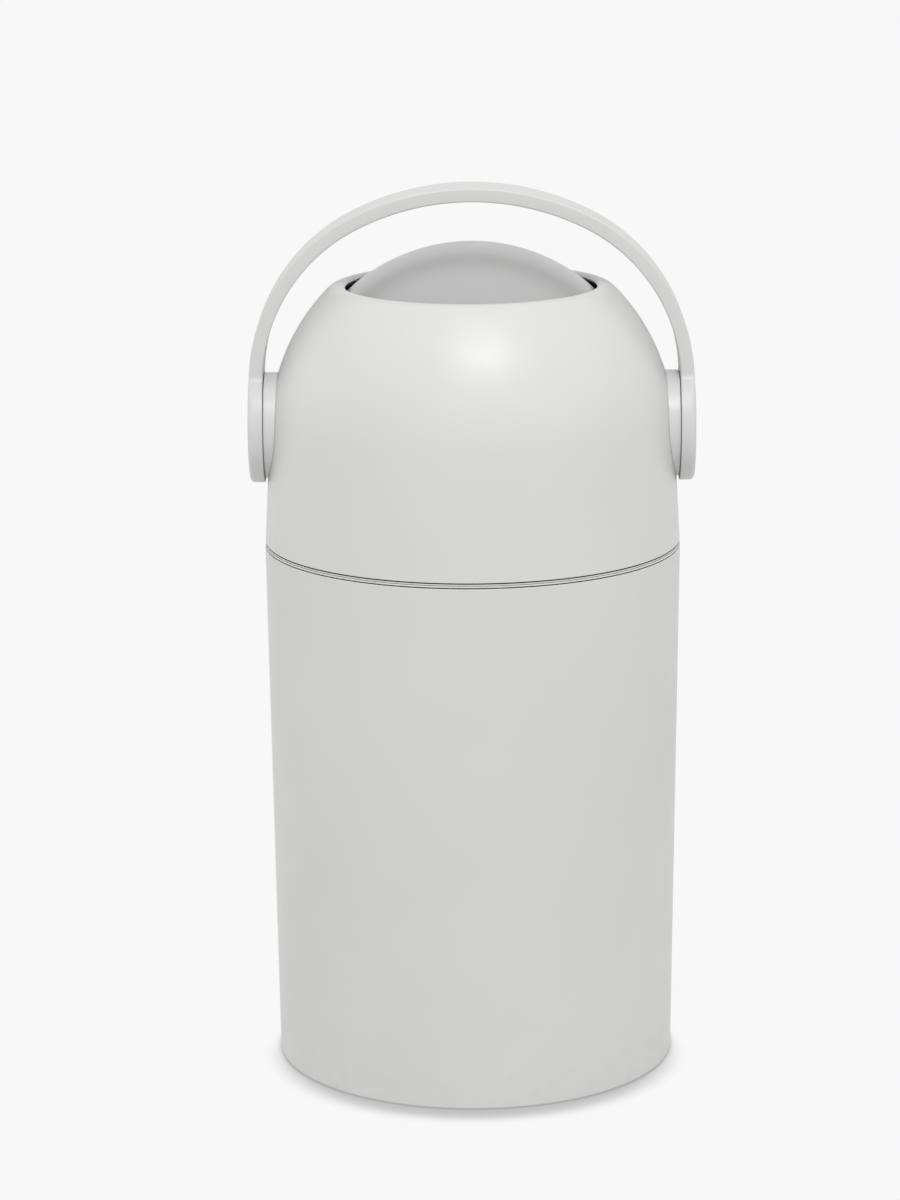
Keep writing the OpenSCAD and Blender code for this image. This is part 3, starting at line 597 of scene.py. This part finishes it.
# the side of the piston that faces the drum's middle, from its centre out to the wiper's groove
piston_side = [(0, -plate_half), (plate_mid_r, -plate_half, 0), (piston_in_r, -plate_half, 2.0),
               (piston_in_r, -piston_half, 0.8), (piston_r, -piston_half, 0.8), (piston_r, -wiper_half, 0.2),
               (wiper_in_r, -wiper_half, 0.15)]
other_piston_side = [(r, -y, *turn) for r, y, *turn in piston_side[::-1]]
piston_outline = rounded(piston_side + other_piston_side, steps=5, hold=0.4) + np.array([0, piston_y])
made("piston_disc", [turned(piston_outline, 192, "y")], inner_plastic, "piston",
     ["piston"])
wiper_outline = rounded([
    (wiper_in_r, piston_y - wiper_half, 0.3), (wiper_r, piston_y - wiper_half, 0.9),
    (wiper_r, piston_y + wiper_half, 0.9), (wiper_in_r, piston_y + wiper_half, 0.3)], steps=6, hold=0.2)
made("piston_wiper", [turned(wiper_outline, 192, "y")], seal_rubber, "piston",
     ["piston_seal"])


# Handle. One moulded strap that arches from hub to hub in three curves, crisp along its edges,
# and ends in a slightly thicker round disc on each side, with hollow fillets at the necks.
disc_r, strap_half, neck_r = 38.5, 18.5, 6.0
disc_x, strap_x, disc_t, strap_t = 149.0, 148.7, 9.8, 9.2
handle_top, haunch_r, arch_r = 599.0, 125.2, 177.4
arch_z, haunch_x = handle_top - arch_r, strap_x - haunch_r
haunch_z = arch_z + sqrt((arch_r - haunch_r) ** 2 - haunch_x ** 2)
haunch_a = atan2(haunch_z - arch_z, haunch_x)
arch_len, haunch_len = arch_r * (pi / 2 - haunch_a), haunch_r * haunch_a
disc_s = arch_len + haunch_len + haunch_z - axis_z


def along_arch(s):
    """Point and outward direction on the strap's outer face at a length s from its top, for s of one side:
    crown arc, then corner arc, then straight down. Returns x, z and the direction's x, z."""
    crown = pi / 2 - np.minimum(s, arch_len) / arch_r
    corner = haunch_a - np.clip(s - arch_len, 0, haunch_len) / haunch_r
    x = np.where(s < arch_len, arch_r * np.cos(crown), haunch_x + haunch_r * np.cos(corner))
    z = np.where(s < arch_len, arch_z + arch_r * np.sin(crown), haunch_z + haunch_r * np.sin(corner))
    z = z - np.maximum(s - arch_len - haunch_len, 0)
    a = np.where(s < arch_len, crown, corner)
    return x, z, np.cos(a), np.sin(a)


def half_edge():
    """One side of the flat pattern's edge, from the top of the arch down to the foot of the disc: length s
    and y, the outward direction, and a share that grows from 0 on the strap to 1 on the disc."""
    neck_y = strap_half + neck_r
    neck_s = disc_s - sqrt((disc_r + neck_r) ** 2 - neck_y ** 2)
    s = np.concatenate([np.linspace(0, arch_len, 40), np.linspace(arch_len, neck_s, 56)[1:]])
    strap = np.stack([s, 0 * s + strap_half, 0 * s, 0 * s + 1, 0 * s], 1)
    end_a = atan2(disc_s - neck_s, neck_y)
    a = np.linspace(0, end_a, 12)[1:]
    # the fillet turns about a point outside the strap, so its outward direction points at that point
    neck = np.stack([neck_s + neck_r * np.sin(a), neck_y - neck_r * np.cos(a), -np.sin(a), np.cos(a),
                     a / end_a * 0.5], 1)
    b = np.linspace(atan2(neck_y, neck_s - disc_s), 0.004, 62)[1:]
    share = 0.5 + 0.5 * np.clip(np.arange(len(b)) / 10, 0, 1)
    disc = np.stack([disc_s + disc_r * np.cos(b), disc_r * np.sin(b), np.cos(b), np.sin(b), share], 1)
    return np.vstack([strap, neck, disc])


# the closed edge: down the right side at +y, back up at -y, down the left side at -y, back up at +y
half = half_edge()
n = len(half)
other_y, other_side = np.array([1, -1, 1, -1, 1]), np.array([-1, 1, -1, 1, 1])
edge = np.vstack([half, (half * other_y)[::-1], (half * other_y * other_side)[1:],
                  (half * other_side)[:0:-1]])
share = edge[:, 4]
strap_round, disc_round, disc_inner_round = 1.2, 3.2, 0.6
hold_near, hold_far = 0.4, 1.2
outer_round = strap_round + (disc_round - strap_round) * share
inner_round = strap_round + (disc_inner_round - strap_round) * share
q = np.linspace(0, pi / 2, 8)
# how far each ring of points lies in from the edge, and how deep below the strap's outer face
inset = [outer_round + hold_far, outer_round + hold_near] + [outer_round * (1 - sin(a)) for a in q]
depth = [0 * share, 0 * share] + [outer_round * (1 - cos(a)) for a in q]
depth = [d - (disc_x - strap_x) * share for d in depth]
inset += [inner_round * (1 - sin(a)) for a in q[::-1]] + [inner_round + hold_near, inner_round + hold_far]
back = strap_t + (disc_t - strap_t - disc_x + strap_x) * share
depth += [back - inner_round * (1 - cos(a)) for a in q[::-1]] + [back, back]
inset, depth = np.array(inset), np.array(depth)
s = edge[None, :, 0] - inset * edge[None, :, 2]
y = edge[None, :, 1] - inset * edge[None, :, 3]
x, z, nx, nz = along_arch(np.abs(s))
side = np.where(edge[None, :, 0] < 0, -1.0, 1.0)
strap_grid = np.stack([side * (x - depth * nx), y, z - depth * nz], -1)
rings, count = strap_grid.shape[:2]
# walls between the rings, and both flat faces closed straight across from each point to its partner in y
faces = [closed_grid(rings, count, wrap_rows=False)]
i = np.arange(n)
for ring_row in (0, rings - 1):
    for one, two in ((i, 2 * n - 1 - i), (2 * n - 1 + i, (count - i) % count)):
        faces.append(ring_row * count + np.stack([one[:-1], one[1:], two[1:], two[:-1]], -1))
handle_plastic = moulded_plastic("handle_plastic", (0.622, 0.622, 0.612), 0.42, depth=0.04)
made("arch_handle", [(strap_grid, np.vstack(faces))], handle_plastic, "drum", ["handle"])


# Handle caps. Thin round covers snapped into the discs over the screws, very slightly
# crowned and standing 0.4 mm out of the disc's face.
cap_r, cap_deep, cap_edge, cap_proud = 30.0, 1.95, 0.1, 0.4
# the crown's height falls from cap_proud in the middle to cap_edge at the rim with the radius squared
crown = [(r, disc_x + cap_proud - (cap_proud - cap_edge) * (r / cap_r) ** 2, 0)
         for r in np.linspace(cap_r - 1.5, 0, 16)]
cap_outline = rounded([(0, disc_x - cap_deep), (cap_r, disc_x - cap_deep, 0.2),
                       (cap_r, disc_x + cap_edge, 0.35)] + crown, steps=5, hold=0.3)
for way, word in ((-1, "left"), (1, "right")):
    made(f"disc_cap_{word}", [turned(cap_outline * np.array([1, way]), 144, "x")], handle_plastic, "drum",
         [f"handle_cap_{word}"])


# Screws, bushes and shafts. Zinc-plated screws, slippery off-white bushes and shafts;
# these stay as the solid model has them, with their own finishes.
def plated_steel(name, colour, rough):
    """Zinc-plated steel: a metal with fine noise in its tone and its gloss, and a faint bump."""
    material, tree = blank_material(name)
    place = wired(tree, "ShaderNodeTexCoord").outputs["Object"]
    specks = noise(tree, place, 900.0, 3.0, 0.5)
    gloss = remapped(tree, specks, noise_low, noise_high, rough - 0.08, rough + 0.08)
    tint = blended(tree, specks, tuple(0.9 * c for c in colour) + (1.0,), colour + (1.0,))
    bump = wired(tree, "ShaderNodeBump", [("Strength", 0.4), ("Distance", 0.00002), ("Height", specks)])
    skin = wired(tree, "ShaderNodeBsdfPrincipled", [
        ("Base Color", tint), ("Metallic", 1.0), ("Roughness", gloss), ("Normal", bump.outputs[0])])
    wired(tree, "ShaderNodeOutputMaterial", [("Surface", skin.outputs[0])])
    return material


screw_steel = plated_steel("screw_steel", (0.62, 0.63, 0.65), 0.34)
bush_plastic = moulded_plastic("bush_plastic", (0.72, 0.70, 0.64), 0.38, depth=0.02)
screw_nodes = ("lid_screws", "collar_screws", "drum_screws", "handle_screws")
hub_nodes = ("bearing_bush_left", "bearing_bush_right", "stub_shaft_left", "stub_shaft_right")
for finish, node_names in ((screw_steel, screw_nodes), (bush_plastic, hub_nodes)):
    for node_name in node_names:
        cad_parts[node_name].data.materials.clear()
        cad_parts[node_name].data.materials.append(finish)
